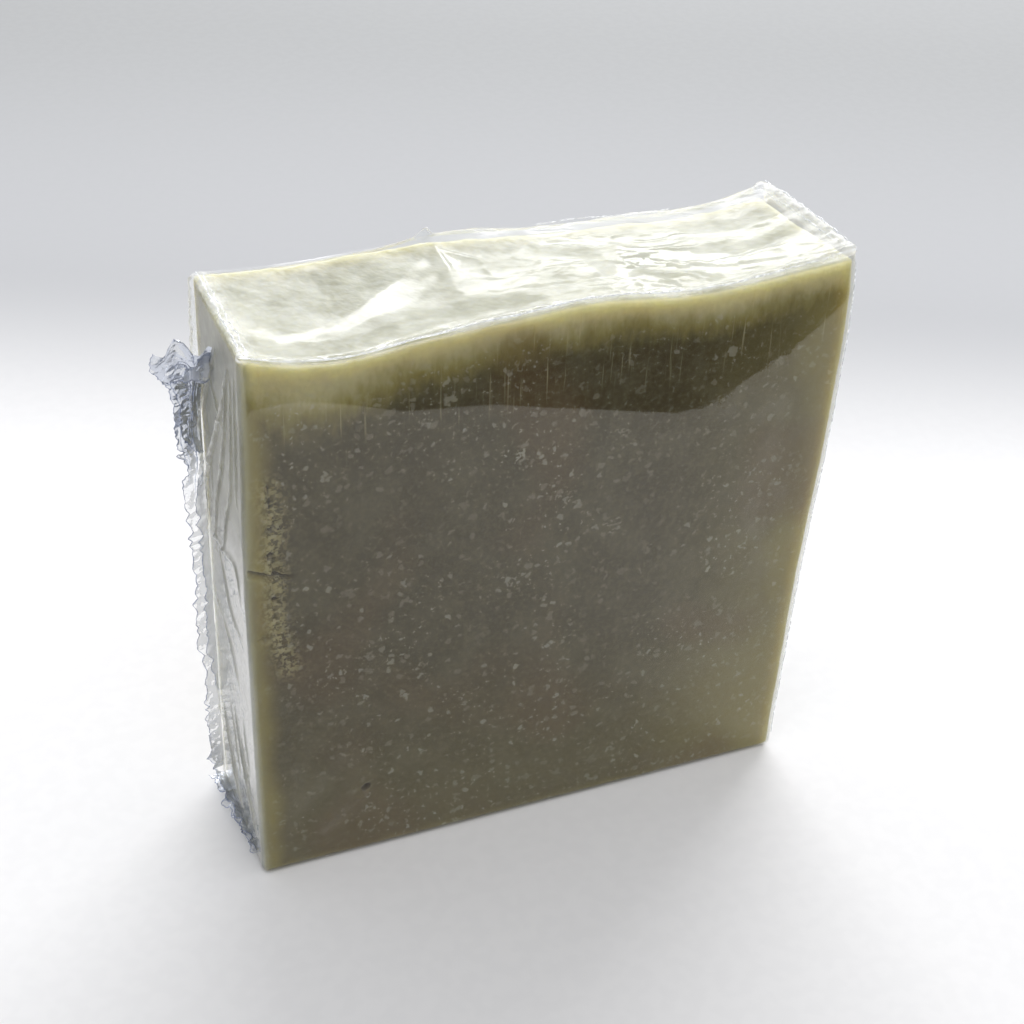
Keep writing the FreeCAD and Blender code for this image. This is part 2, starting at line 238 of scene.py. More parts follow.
class Graph:
    """Short names for building one material's nodes."""

    def __init__(self, name):
        self.material = bpy.data.materials.new(name)
        self.material.use_nodes = True
        self.tree = self.material.node_tree
        self.tree.nodes.clear()
        self.solid_place = self.place = self.add("ShaderNodeTexCoord").outputs["Object"]
        self.dimensions = "3D"

    def add(self, kind, inputs=(), **settings):
        node = self.tree.nodes.new(kind)
        for key, value in settings.items():
            setattr(node, key, value)
        for key, value in dict(inputs).items():
            self.feed(node.inputs[key], value)
        return node

    def feed(self, socket, value):
        if isinstance(value, bpy.types.NodeSocket):
            self.tree.links.new(value, socket)
        else:
            socket.default_value = value

    def math(self, operation, *values, clamp=False):
        node = self.add("ShaderNodeMath", operation=operation, use_clamp=clamp)
        for socket, value in zip(node.inputs, values):
            self.feed(socket, value)
        return node.outputs[0]

    def scaled(self, factors):
        """Object coordinates in metres times three factors."""
        node = self.add("ShaderNodeVectorMath", operation="MULTIPLY")
        self.feed(node.inputs[0], self.place)
        self.feed(node.inputs[1], factors)
        return node.outputs[0]

    def flatten(self):
        """Texture a slanted flat view of the object from here on, which none of its faces is edge on to."""
        x, y, z = self.axes()
        across = self.math("MULTIPLY_ADD", y, SLANT_ACROSS, x)
        up = self.math("MULTIPLY_ADD", y, SLANT_UP, z)
        self.place = self.add("ShaderNodeCombineXYZ", {"X": across, "Y": up}).outputs[0]
        self.dimensions = "2D"

    def noise(self, scale, detail=2.0, vector=None, roughness=0.5, output="Fac"):
        inputs = {"Vector": vector or self.place, "Scale": scale, "Detail": detail, "Roughness": roughness}
        dimensions = "3D" if vector == self.solid_place else self.dimensions
        return self.add("ShaderNodeTexNoise", inputs, noise_dimensions=dimensions).outputs[output]

    def value_of(self, name):
        """A value stored at the mesh's points."""
        return self.add("ShaderNodeAttribute", attribute_name=name).outputs["Fac"]

    def wander(self, scale, amount):
        """Slow change round zero, over a span of the given amount."""
        return self.math("MULTIPLY", self.math("SUBTRACT", self.noise(scale, 2), 0.5), amount)

    def span(self, value, start, end, low=0.0, high=1.0):
        inputs = {"Value": value, "From Min": start, "From Max": end, "To Min": low, "To Max": high}
        return self.add("ShaderNodeMapRange", inputs, interpolation_type="SMOOTHSTEP").outputs["Result"]

    def mix(self, factor, first, second):
        node = self.add("ShaderNodeMix", data_type="RGBA")
        for key, value in (("Factor_Float", factor), ("A_Color", first), ("B_Color", second)):
            socket = next(item for item in node.inputs if item.identifier == key)
            self.feed(socket, value)
        return next(item for item in node.outputs if item.identifier == "Result_Color")

    def blend(self, factor, first, second):
        """Node that mixes the shaders of two nodes."""
        node = self.add("ShaderNodeMixShader", {"Fac": factor})
        self.tree.links.new(first.outputs[0], node.inputs[1])
        self.tree.links.new(second.outputs[0], node.inputs[2])
        return node

    def axes(self):
        node = self.add("ShaderNodeSeparateXYZ", {"Vector": self.place})
        return node.outputs["X"], node.outputs["Y"], node.outputs["Z"]

    def finish(self, shader):
        output = self.add("ShaderNodeOutputMaterial")
        self.tree.links.new(shader, output.inputs["Surface"])
        return self.material


# Soap: how far specks are pulled out of round, how soft their edge is, and how bright the faintest are
SPECK_STRETCH = 0.8
SPECK_BLUR = 0.5
SPECK_FAINTEST = 0.35


def specks(graph, stretch, per_metre, radius, share):
    """Pale specks: 1 inside the ragged heart of a share of the cells of a cellular pattern."""
    shift = graph.add("ShaderNodeVectorMath", operation="MULTIPLY_ADD")
    graph.feed(shift.inputs[0], stretch)
    graph.feed(shift.inputs[1], (SPECK_STRETCH / per_metre,) * 3)
    graph.feed(shift.inputs[2], graph.place)
    inputs = {"Vector": shift.outputs[0], "Scale": per_metre, "Randomness": 1.0}
    cells = graph.add("ShaderNodeTexVoronoi", inputs, voronoi_dimensions=graph.dimensions)
    pick = graph.add("ShaderNodeSeparateColor", {"Color": cells.outputs["Color"]})
    kept = graph.math("LESS_THAN", pick.outputs["Red"], share)
    reach = graph.math("MULTIPLY", graph.math("ADD", pick.outputs["Green"], 0.35), radius)
    inside = graph.math("SUBTRACT", reach, cells.outputs["Distance"])
    inside = graph.math("DIVIDE", inside, radius * SPECK_BLUR, clamp=True)
    bright = graph.math("POWER", pick.outputs["Blue"], 2.0)
    bright = graph.math("MULTIPLY_ADD", bright, 1 - SPECK_FAINTEST, SPECK_FAINTEST)
    return graph.math("MULTIPLY", graph.math("MULTIPLY", inside, kept), bright)


def soap_material():
    """Olive soap: dark inside, painted yellow-green towards its skin as a glow of light shining through the
    edges, greyer on the crust, with pale specks.
    """
    graph = Graph("soap_olive")
    z = graph.axes()[2]
    x = graph.value_of(ACROSS)
    graph.flatten()
    from_side = graph.math("SUBTRACT", HALF_WIDTH * MM, graph.math("ABSOLUTE", x))
    from_top = graph.value_of(BELOW_TOP)
    drift = graph.wander(90, 0.003)
    from_left = graph.math("ADD", graph.math("ADD", x, HALF_WIDTH * MM), drift)
    blurred = graph.wander(45, 0.009)
    from_right = graph.math("ADD", graph.math("SUBTRACT", HALF_WIDTH * MM, x), blurred)
    # Painted glow: light shining through the soap's thin edges, painted into the colour as paler yellow-green
    # towards the left, right, top and foot edges; glow is its widest part, on the right
    left_painted_glow = graph.span(from_left, 0.0003, 0.0052, 0.50, 0.0)
    right_painted_glow = graph.span(from_right, 0.0005, 0.0125, 0.46, 0.0)
    glow = graph.span(from_right, 0.0, 0.026, 0.28, 0.0)
    depth = graph.math("MULTIPLY", from_top, graph.span(x, -0.036, -0.008, 0.66, 1.0))
    ragged = graph.noise(1.0, 2, vector=graph.scaled((800, 300, 1)), roughness=0.6)
    ragged = graph.math("MULTIPLY", graph.math("SUBTRACT", ragged, 0.5), 0.0028)
    depth = graph.math("ADD", depth, graph.math("ADD", drift, ragged))
    top_painted_glow = graph.span(depth, 0.0, 0.0088, 1.0, 0.0)
    foot_painted_glow = graph.span(graph.math("ADD", z, drift), 0.0, 0.0045, 0.3, 0.0)
    # Painted light from the bright floor below: the front is made paler towards the foot
    foot_painted_light = graph.span(z, 0.0, 0.045, 0.2, 0.0)
    side_painted_glow = graph.math("MAXIMUM", left_painted_glow, right_painted_glow)
    painted_glow = graph.math("MAXIMUM", side_painted_glow, graph.math("MAXIMUM", top_painted_glow, foot_painted_glow))
    painted_glow = graph.math("MAXIMUM", painted_glow, graph.math("ADD", glow, foot_painted_light))

    # core is the soap's own dark olive; middle and skin are painted glow colours for light shining through
    # the edges
    core = (0.108, 0.086, 0.036, 1)
    middle = (0.38, 0.330, 0.115, 1)
    skin = (0.67, 0.64, 0.42, 1)
    inner = graph.mix(graph.span(painted_glow, 0.0, 0.6), core, middle)
    colour = graph.mix(graph.span(painted_glow, 0.45, 1.0), inner, skin)
    mottle = graph.span(graph.noise(160, 3, roughness=0.65), 0.35, 0.7)
    colour = graph.mix(graph.math("MULTIPLY", mottle, 0.16), colour, (0.36, 0.34, 0.22, 1))
    warm = graph.span(graph.noise(48, 1), 0.50, 0.72, 0.0, 0.4)
    colour = graph.mix(warm, colour, (0.20, 0.125, 0.055, 1))
    fine_grain = graph.noise(1300, 2, roughness=0.7)
    grain = graph.span(fine_grain, 0.42, 0.62, 0.0, 0.12)
    colour = graph.mix(grain, colour, (0.40, 0.37, 0.22, 1))

    # Fine upright marks of the cut, strongest in the dark band below the top
    streaks = graph.noise(1.0, 1, vector=graph.scaled((2600, 110, 1)))
    marked = graph.math("MULTIPLY", graph.noise(70, 1), graph.span(from_top, 0.016, 0.004, 0.0, 1.2))
    streaks = graph.math("MULTIPLY", graph.span(streaks, 0.66, 0.84), marked)
    colour = graph.mix(streaks, colour, (0.60, 0.55, 0.33, 1))

    # Specks of many sizes, in loose clusters, fewest near the edges
    crowd = graph.span(graph.noise(60, 2), 0.30, 0.60, 0.35, 1.0)
    inland = graph.span(graph.math("MINIMUM", from_side, from_top), 0.001, 0.006, 0.5, 1.0)
    crowd = graph.math("MULTIPLY", crowd, inland)
    dusty = graph.span(graph.noise(110, 1), 0.42, 0.62, 0.2, 1.0)
    dusty = graph.math("MAXIMUM", dusty, graph.span(from_top, 0.020, 0.008))
    dust = graph.math("MULTIPLY", graph.span(fine_grain, 0.66, 0.74), graph.math("MULTIPLY", dusty, 0.6))
    stretch = graph.noise(1000, 1, output="Color")
    fine = graph.math("MULTIPLY", specks(graph, stretch, 760, 0.30, 0.40), 0.6)
    small = graph.math("MULTIPLY", specks(graph, stretch, 400, 0.24, 0.22), 0.6)
    pale = graph.math("MULTIPLY", graph.math("MAXIMUM", dust, graph.math("MAXIMUM", fine, small)), crowd)
    pale = graph.math("MAXIMUM", pale, graph.math("MULTIPLY", specks(graph, stretch, 150, 0.10, 0.13), 0.7))
    colour = graph.mix(pale, colour, (0.60, 0.58, 0.46, 1))

    # Crumbs along the fissure, painted shade in its hollows, and the grey-green crust of the poured top and
    # the moulded ends
    crumbs = graph.math("MULTIPLY", graph.value_of(CRUMBLED), graph.span(fine_grain, 0.42, 0.58))
    colour = graph.mix(graph.math("MULTIPLY", crumbs, 0.8), colour, (0.56, 0.50, 0.27, 1))
    # Painted shade: the fissure, crack, pits and bubble are darkened where shade falls in their hollows
    hollow = graph.span(graph.value_of(HOLLOW_SHADE), 0.5, 1.3, 0.0, 0.85)
    colour = graph.mix(hollow, colour, (0.075, 0.055, 0.022, 1))
    patches = graph.span(graph.noise(190, 3, vector=graph.solid_place, roughness=0.6), 0.3, 0.7)
    top_crust = graph.mix(patches, (0.32, 0.32, 0.23, 1), (0.48, 0.48, 0.40, 1))
    lower = graph.span(z, 0.050, 0.030)
    end_crust = graph.mix(lower, (0.20, 0.195, 0.125, 1), (0.34, 0.345, 0.29, 1))
    end_crust = graph.mix(graph.math("MULTIPLY", patches, 0.4), end_crust, (0.52, 0.52, 0.44, 1))
    colour = graph.mix(graph.span(from_side, 0.0017, 0.0002, 0.0, 0.75), colour, (0.27, 0.27, 0.19, 1))
    colour = graph.mix(graph.span(from_side, 0.00045, 0.0001), colour, end_crust)
    colour = graph.mix(graph.span(from_top, 0.00045, 0.0001), colour, top_crust)

    bump = graph.add("ShaderNodeBump", {"Strength": 0.3, "Distance": 0.0003, "Height": graph.noise(900, 2)})
    inputs = {
        "Base Color": colour,
        "Roughness": graph.span(fine_grain, 0.3, 0.7, 0.42, 0.6),
        "Subsurface Weight": 1.0,
        "Subsurface Radius": (1.0, 0.88, 0.50),
        "Subsurface Scale": 0.006,
        "Normal": bump.outputs["Normal"],
    }
    shader = graph.add("ShaderNodeBsdfPrincipled", inputs)
    return graph.finish(shader.outputs["BSDF"])


# The fissure down the left of the front face, as places across and up, and the crack across it
FISSURE = (
    (-35.1, 60.5), (-34.9, 57.8), (-34.4, 54.6), (-35.1, 51.0), (-34.5, 48.0), (-34.8, 43.0), (-34.3, 38.3),
    (-33.4, 33.8),
)
CRACK = ((-37.6, 48.9), (-35.7, 48.1), (-33.2, 47.4))
# Pits beside the fissure: place and radius
PITS = (
    (-34.8, 57.8, 0.45), (-34.5, 54.6, 0.55), (-34.9, 50.6, 0.4), (-34.4, 44.2, 0.35), (-36.2, 38.9, 0.35),
)
BUBBLE = (-23.9, 11.1)
BUBBLE_RADIUS = 0.6
FINE_STEP = 0.2


def make_soap():
    """The cut slab with its wavy top, crumbled fissure, crack, air bubble and slightly uneven edges."""
    bubble_x, bubble_z = ((place - 1.0, place + 1.0, 0.14) for place in BUBBLE)
    xs = spaced(soap_low[0], soap_high[0], 0.62, [(soap_low[0], -32.8, FINE_STEP), bubble_x])
    ys = spaced(soap_low[1], soap_high[1], 0.6)
    flat_top = soap_high[2]
    zs = spaced(soap_low[2], flat_top, 0.62, [(32.0, 62.0, 0.3), bubble_z])
    points, quads = lattice_shell(xs, ys, zs)
    points, outward = rounded(points, soap_low, soap_high, EDGE_RADIUS)

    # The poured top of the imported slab
    stretch = smooth_step(points[:, 2], flat_top - 14, flat_top)
    for number, point in enumerate(points):
        if stretch[number] > 0:
            point[2] += (top_of(soap_tree, *inside_soap(point[:2])) - flat_top) * stretch[number]

    # How far each point lies below the poured top, in metres, for the painted glow of light through the top
    # edge
    below = np.array([top_of(soap_tree, *place) for place in inside_soap(points[:, :2])]) - points[:, 2]

    # Crumbled soap along the fissure and the crack
    x, z = points[:, 0], points[:, 2]
    front = smooth_step(-outward[:, 1], 0.55, 0.95)
    rough = noise_of(points, 0.9, 7.0)
    grain = noise_of(points, 2.6, 3.0)
    reach = near_path(x, z, FISSURE)[0]
    groove = np.exp(-((reach / (0.40 + 0.25 * rough)) ** 2)) * smooth_step(rough, -0.2, 0.2)
    crumbs = np.exp(-((reach / 1.3) ** 2)) * front
    crack = np.exp(-((near_path(x, z, CRACK)[0] / 0.34) ** 2))
    hollow = 0.6 * groove + 0.6 * crumbs * grain + 1.4 * crack
    for pit_x, pit_z, radius in PITS:
        pit = np.exp(-((np.hypot((x - pit_x) * 0.5, z - pit_z) / radius) ** 2))
        hollow += pit * (0.7 + 1.2 * grain)
    gap = np.hypot(x - BUBBLE[0] - 0.25 * (z - BUBBLE[1]), z - BUBBLE[1])
    bubble = np.sqrt(np.clip(BUBBLE_RADIUS ** 2 - gap ** 2, 0, None))
    hollow = np.clip(hollow, -0.12, 1.3)
    points[:, 1] += front * (hollow + 2.0 * bubble)

    # Uneven skin, with small lumps where the top was poured
    skin = 0.05 * noise_of(points, 0.35, 11.0) - 0.06
    lumps = 0.22 * noise_of(points, 0.3, 21.0) + 0.10 * noise_of(points, 0.9, 23.0)
    poured = smooth_step(outward[:, 2], 0.4, 0.9) * lumps
    points += outward * (skin + poured)[:, None]
    # Painted shade for the colour: the hollows' depth, and a dark painted ring round the bubble's edge
    ring = 1.5 * np.exp(-(((gap - BUBBLE_RADIUS + 0.1) / 0.16) ** 2)) + bubble
    shades = {BELOW_TOP: np.clip(below, 0, None) * MM, CRUMBLED: crumbs, HOLLOW_SHADE: front * (hollow + ring)}
    shades[ACROSS] = points[:, 0] * MM
    points[:, 0] += cut_lean(points)
    piece = make_piece("soap_slab", points, quads, [soap_material()], shades)
    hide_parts("soap_bar")
    return piece


# Clear film: how much rougher it is where it clings to the soap, and the share of its gloss left there
CLINGING_ROUGHNESS = 0.36
CLINGING_GLOSS = 0.4


def film_material(name, tint, haze, gloss, wrinkle, roughness=(0.02, 0.02)):
    """Thin clear film: see-through, with mirror gloss that grows at a glancing angle, hazy where gathered."""
    graph = Graph(name)
    gathered, dulled = graph.value_of(GATHERED), graph.value_of(DULLED)
    fine = graph.math("MULTIPLY", graph.noise(900, 2), gathered)
    broad = graph.math("MULTIPLY", graph.noise(70, 0), wrinkle)
    height = graph.math("ADD", fine, broad)
    bump = graph.add("ShaderNodeBump", {"Strength": 0.5, "Distance": 0.0004, "Height": height})
    normal = bump.outputs["Normal"]
    clear = graph.add("ShaderNodeBsdfTransparent", {"Color": (0.985, 0.99, 0.985, 1)})
    milk = graph.add("ShaderNodeBsdfDiffuse", {"Color": tint, "Normal": normal})
    glow = graph.add("ShaderNodeBsdfTranslucent", {"Color": tint, "Normal": normal})
    cloth = graph.blend(0.6, milk, glow)
    cloud = graph.math("MULTIPLY", graph.span(graph.noise(420, 2), 0.3, 0.75, 0.25, 0.85), gathered)
    body = graph.blend(graph.math("ADD", cloud, haze, clamp=True), clear, cloth)
    dull = graph.span(graph.noise(90, 1), 0.35, 0.65, *roughness)
    dull = graph.math("MULTIPLY_ADD", dulled, CLINGING_ROUGHNESS, dull)
    mirror = graph.add("ShaderNodeBsdfAnisotropic", {"Color": tint, "Roughness": dull, "Normal": normal})
    facing = graph.add("ShaderNodeFresnel", {"IOR": 1.5, "Normal": normal}).outputs[0]
    gloss_left = graph.span(dulled, 0.0, 1.0, gloss, CLINGING_GLOSS * gloss)
    share = graph.math("MULTIPLY", facing, gloss_left, clamp=True)
    return graph.finish(graph.blend(share, body, mirror).outputs[0])


# Folds of the film on the top, as places across and back, with the height and the half width of each
TOP_FOLDS = (
    (((-37, -7.4), (-28, -9.9), (-18, -10.0), (-10, -9.2)), -0.22, 0.45),
    (((-19.3, -8.3), (-14, -6.9), (-7, -7.6), (0.4, -7.8)), -0.45, 1.2),
    (((-9.3, 10), (-9.1, 4.7), (-9.8, -2.9)), 0.55, 0.7),
    (((-10.6, 10.4), (-9.2, 10.1), (-8.6, 8.8)), 0.8, 0.4),
    (((-9.1, 6.5), (-5.5, 2.5), (-4.2, -1.5)), 0.3, 0.6),
    (((2.1, -3.9), (6.9, -1.9), (12.1, -3.4), (12.4, -7.0), (7.7, -9.6)), 0.28, 0.4),
    (((12.4, -8.3), (15.6, -8.5), (16.7, -9.6), (21.5, -9.4)), -0.3, 0.45),
    (((11.5, -5.8), (16.5, -6.6), (20.5, -8.4)), 0.25, 0.35),
    (((24.1, -3.7), (30.4, -3.6), (34.9, -2.9)), -0.3, 0.7),
    (((29, -0.3), (33, -0.1)), -0.22, 0.4),
    (((-33, 8.5), (-29, 3.0), (-31, -3.0)), 0.2, 0.8),
    (((-7.5, 9.5), (-15.0, 3.5), (-22.0, -1.5), (-30.0, -6.5)), -0.42, 2.2),
    (((18, 7.5), (24, 4.5), (31, 5.5)), 0.2, 0.6),
    (((6, 3.5), (9.5, 1.5), (13, 2.0)), 0.24, 0.4),
    (((8, 6.0), (12, 4.4), (17, 4.6)), 0.22, 0.4),
    (((-3, -4.5), (3, -5.6), (9, -5.0)), -0.22, 0.5),
    (((0.5, 7.5), (3.0, 4.0), (2.5, 0.5)), 0.24, 0.4),
    (((15.5, -2.5), (19.0, -4.6), (24.0, -5.4)), 0.26, 0.4),
    (((17.0, 0.5), (22.0, -1.2), (28.0, -1.0)), 0.22, 0.45),
)

# Folds on the left end, as places back and up
END_FOLDS = (
    (((9.4, 49.5), (9.6, 56.4), (5.0, 66.5), (0, 73.2)), 0.42, 0.26),
    (((-5.6, 73.5), (-1.6, 66.1), (3.3, 59.1), (7.5, 51.4), (8.4, 43.4)), 0.55, 0.34),
    (((-5.0, 73.0), (-3.0, 64.3), (-0.1, 56.9), (2.8, 50.7), (5.2, 42.5)), 0.45, 0.3),
    (((-6.6, 72.5), (-5.3, 58.9), (-1.9, 50.9), (1.3, 43.5)), 0.4, 0.28),
    (((-8.3, 74.0), (-8.0, 66.0), (-7.6, 57.0)), 0.3, 0.3),
    (((3.5, 68.2), (-1.6, 64.5)), 0.3, 0.25),
    (((7.2, 62.5), (5.4, 57.0), (5.5, 51.0)), 0.22, 0.3),
    (((9.6, 42.5), (6.8, 44.3), (0.3, 45.7), (-6.0, 46.9), (-7.7, 43.1)), 0.35, 0.4),
    (((3.8, 45.0), (-1.5, 38.0), (-6.8, 36.5)), 0.3, 0.5),
    (((9.0, 34.0), (0.9, 32), (-3.2, 27)), 0.3, 0.7),
    (((7.0, 15.3), (2.6, 6.4), (-1.2, 3.4)), 0.42, 0.25),
    (((0.2, 20.1), (-4.5, 11.0), (-7.7, 4.9)), 0.42, 0.25),
    (((3.0, 20.0), (0.5, 14.0), (-0.5, 9.0)), 0.25, 0.25),
    (((-4.5, 22.0), (-6.5, 14.0)), 0.2, 0.3),
)

# Creases on the front, as places across and up
FRONT_FOLDS = (
    (((15.2, 43.2), (16.0, 40.0), (17.6, 36.2)), 0.12, 0.22),
    (((16.6, 42.4), (17.4, 39.6)), 0.07, 0.2),
    (((32.0, 48.5), (34.8, 44.0), (35.4, 38.0)), 0.10, 0.8),
)

# Parts of the top where the film clings and is dull, and where it is free and glossy: places across and back,
# how much, and the half width of each
DULL_PARTS = (
    (((-37, 9.0), (-30, 6.0), (-24, 3.5), (-19, 5.5), (-12, 9.0)), 1.0, 4.2),
    (((-34, 0.5), (-30, -1.5)), 0.7, 3.0),
    (((-35, -6.6), (-28, -8.2), (-20, -7.6), (-13, -6.4), (-4, -7.0)), 1.0, 1.6),
    (((-6, 8.0), (-3, 5.5), (2, 6.5)), 0.6, 2.2),
    (((3, 3.0), (8, 0.5), (9, -4.0)), 0.7, 1.4),
    (((12, -5.6), (18, -6.4), (22, -8.0)), 0.7, 0.7),
    (((24, 4.5), (30, 2.5), (35, 3.5)), 0.9, 1.4),
    (((22, -2.4), (30, -2.9), (35, -2.2)), 0.8, 0.8),
    (((12, 6.5), (20, 6.0), (28, 7.5)), 0.35, 2.2),
)
GLOSSY_PARTS = (
    (((-9.5, 4.0), (-14, 1.0), (-19, -1.0)), 1.0, 2.4),
    (((-19, -1.0), (-25, -4.0), (-31, -6.0)), 0.8, 1.3),
    (((-37, -9.9), (-20, -9.9), (0, -9.9)), 0.8, 0.5),
    (((14, -0.5), (24, -5.5), (36, -6.5)), 0.6, 2.0),
)

# Pale bands on the front, where the film is a little cloudy
FRONT_BANDS = (
    (((-24.6, 9.8), (-28.5, 6.4), (-33.0, 1.6)), 0.13, 0.8),
    (((-26.5, 18.5), (-29.0, 15.0), (-33.6, 9.0)), 0.10, 0.9),
    (((-34.2, 22.0), (-33.0, 14.0), (-34.5, 6.0)), 0.07, 1.2),
    (((37.2, 66.0), (36.8, 48.0), (37.0, 30.0), (36.4, 12.0)), 0.10, 1.3),
    (((22.0, 60.5), (28.0, 58.5), (33.0, 61.0)), 0.10, 1.8),
    (((27.5, 47.0), (29.5, 40.5), (30.0, 33.5)), 0.08, 0.9),
    (((14.6, 44.0), (15.4, 38.0)), 0.10, 0.3),
)


def film_form(points, outward):
    """How far the film stands out at each place, and how far it is gathered there, from 0 to 1."""
    x, y, z = points.T
    up = smooth_step(outward[:, 2], 0.4, 0.9)
    left = smooth_step(-outward[:, 0], 0.4, 0.9)
    right = smooth_step(outward[:, 0], 0.4, 0.9)
    front = smooth_step(-outward[:, 1], 0.6, 0.95)
    broad = 0.42 * noise_of(points * (1.0, 1.3, 0.2), 0.085, 5.0)
    broad += 0.09 * noise_of(points * (1.0, 1.6, 0.2), 0.26, 9.0)
    fine = noise_of(points, 1.1, 13.0)
    shift = 0.7 * noise_of(points, 0.4, 31.0)
    calm = smooth_step(x, -14, -20) * smooth_step(y, -4, 2)
    lift = up * (broad * (1 - 0.8 * calm) + folds(x + shift, y + shift, TOP_FOLDS))
    ridged = (1 - np.abs(noise_of(points * (0.55, 1.3, 1.0), 0.42, 43.0))) ** 7
    small = (1 - np.abs(noise_of(points * (0.7, 1.2, 1.0), 0.95, 47.0))) ** 6
    lift += up * (0.12 * ridged + 0.05 * small) * smooth_step(x, -12, 0)

    # Gathers along the top's left, right and front edges, and up the back of the left end
    left_edge = np.exp(-(((x - FILM_LEFT) / 2.4) ** 4)) * up
    right_edge = np.exp(-(((x - FILM_RIGHT) / 1.3) ** 2)) * up
    front_edge = np.exp(-(((y - film_low[1] - 0.5) / 0.6) ** 2)) * smooth_step(outward[:, 2], 0.2, 0.6)
    ear_side = np.exp(-(((y - film_high[1]) / 2.6) ** 2)) * smooth_step(z, 46, 66)
    lift += left_edge * (0.24 * fine + 0.16 * noise_of(points, 2.1, 57.0) + 0.15)
    lift += right_edge * (0.22 * fine + 0.3) + front_edge * (0.16 * fine + 0.16)
    pleats = folds(y + 0.4 * shift, z, END_FOLDS)
    lift += left * (0.06 * noise_of(points, 0.25, 17.0) + pleats + 0.7 * ear_side)
    lift += right * 0.12 * noise_of(points * (1.0, 0.5, 1.0), 0.5, 19.0)
    lift += right * 0.10 * fine * np.exp(-((y + 7.5) / 2.5) ** 2)
    lift += front * (0.05 * noise_of(points, 0.05, 27.0) + folds(x, z, FRONT_FOLDS))
    gathered = 0.9 * left_edge + 0.8 * right_edge + 0.7 * front_edge
    crests = np.clip(2.6 * pleats - 0.3, 0, 1)
    cloudy = 0.10 + 0.20 * smooth_step(z, 46, 30)
    gathered += smooth_step(-outward[:, 0], 0.05, 0.5) * (cloudy + crests + 0.15 * ear_side)
    smear = np.exp(-(((x - 31) / 6.0) ** 2) - (((z - 44) / 17) ** 2))
    smear *= 0.4 + noise_of(points * (1.0, 1.0, 0.45), 0.33, 33.0)
    bands = np.clip(folds(x, z, FRONT_BANDS), 0, 1)
    gathered += front * (0.16 * np.clip(smear, 0, 1) + bands)
    gathered += smooth_step(outward[:, 0], 0.5, 0.9) * 0.15
    dulled = 0.35 + 0.25 * noise_of(points * (1.0, 1.6, 1.0), 0.16, 51.0)
    for table, sign in ((DULL_PARTS, 1.0), (GLOSSY_PARTS, -1.0)):
        for path, amount, width in table:
            gap = near_path(x + shift, y + shift, smooth_path(path))[0]
            dulled += sign * amount * smooth_step(gap, width * 1.35, width * 0.5)
    dulled = up * np.clip(dulled, 0, 1) + 0.7 * left * smooth_step(z, 42, 56) * (1 - crests)
    back_left = np.exp(-(((x - FILM_LEFT) / 1.5) ** 2) - (((y - film_high[1]) / 1.5) ** 2)) * (1 - up)
    lift += back_left * (0.45 * noise_of(points, 0.16, 61.0) + 0.22 * noise_of(points, 0.9, 63.0))
    gathered += back_left * (0.3 + 0.4 * fine)
    return lift, np.clip(gathered, 0, 1), np.clip(dulled + 2 * back_left, 0, 1)


def film_top(x, y):
    """Height of the film above a place: as packed, but sunk towards the soap along the left part."""
    low, high = film_low + FILM_INSET, film_high
    film = top_of(film_tree, *np.clip((x, y), low[:2] + CORNER_INSET, high[:2] - CORNER_INSET))
    soap = top_of(soap_tree, *inside_soap((x, y)))
    sunk = smooth_step(x, -8, -17) * (0.42 + 0.70 * (y + 10.4) / 20.8)
    return max(film - sunk, soap + TOP_CLEARANCE)


def film_side(name, sides, xs, ys, zs, material):
    """Some sides of the film, lifted over the poured top and folded."""
    points, quads = lattice_shell(xs, ys, zs, sides)
    points, outward = rounded(points, SHEET_LOW, SHEET_HIGH, EDGE_RADIUS + FILM_SKIN)
    flat_top = SHEET_HIGH[2]
    stretch = smooth_step(points[:, 2], flat_top - 10, flat_top)
    for number, point in enumerate(points):
        if stretch[number] > 0:
            point[2] += (film_top(*point[:2]) - flat_top) * stretch[number]
    lift, gathered, dulled = film_form(points, outward)
    points += outward * lift[:, None]
    if sides == ("top",):
        for point in points:
            point[2] = max(point[2], top_of(soap_tree, *inside_soap(point[:2])) + TOP_CLEARANCE)
    points[:, 0] += cut_lean(points)
    return make_piece(name, points, quads, [material], {GATHERED: gathered, DULLED: dulled})


def make_film():
    """The tight wrapping: smooth on the cut faces, folded over the top, pleated on the left end."""
    low, high = SHEET_LOW, SHEET_HIGH
    clear = film_material("film_clear", (1.0, 0.975, 0.91, 1), 0.02, 1.35, 0.12)
    plain = film_material("film_plain", (1.0, 1.0, 1.0, 1), 0.02, 1.35, 0.25, (0.05, 0.12))
    rear = film_material("film_rear", (1.0, 1.0, 1.0, 1), 0.02, 0.5, 0.25, (0.1, 0.2))
    soft = film_material("film_soft", (1.0, 1.0, 1.0, 1), 0.03, 0.8, 0.15, (0.10, 0.26))
    xs = spaced(low[0], high[0], 0.8, [(14.0, 19.0, 0.2), (30.0, 38.5, 0.4)])
    ys = spaced(low[1], high[1], 0.5)
    zs = spaced(low[2], high[2], 0.8, [(35.5, 44.0, 0.25)])
    faces = film_side("film_faces", ("front",), xs, ys, zs, clear)
    back = film_side("film_back", ("back", "right", "foot"), xs, ys, zs, rear)
    xs = spaced(low[0], high[0], 0.25)
    ys = spaced(low[1], high[1], 0.22)
    top = film_side("film_top", ("top",), xs, ys, zs, soft)
    zs = spaced(low[2], high[2], 0.3)
    end = film_side("film_end", ("left",), xs, ys, zs, plain)
    for piece in (faces, back, top, end):
        piece.visible_shadow = False
        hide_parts("film_wrap")


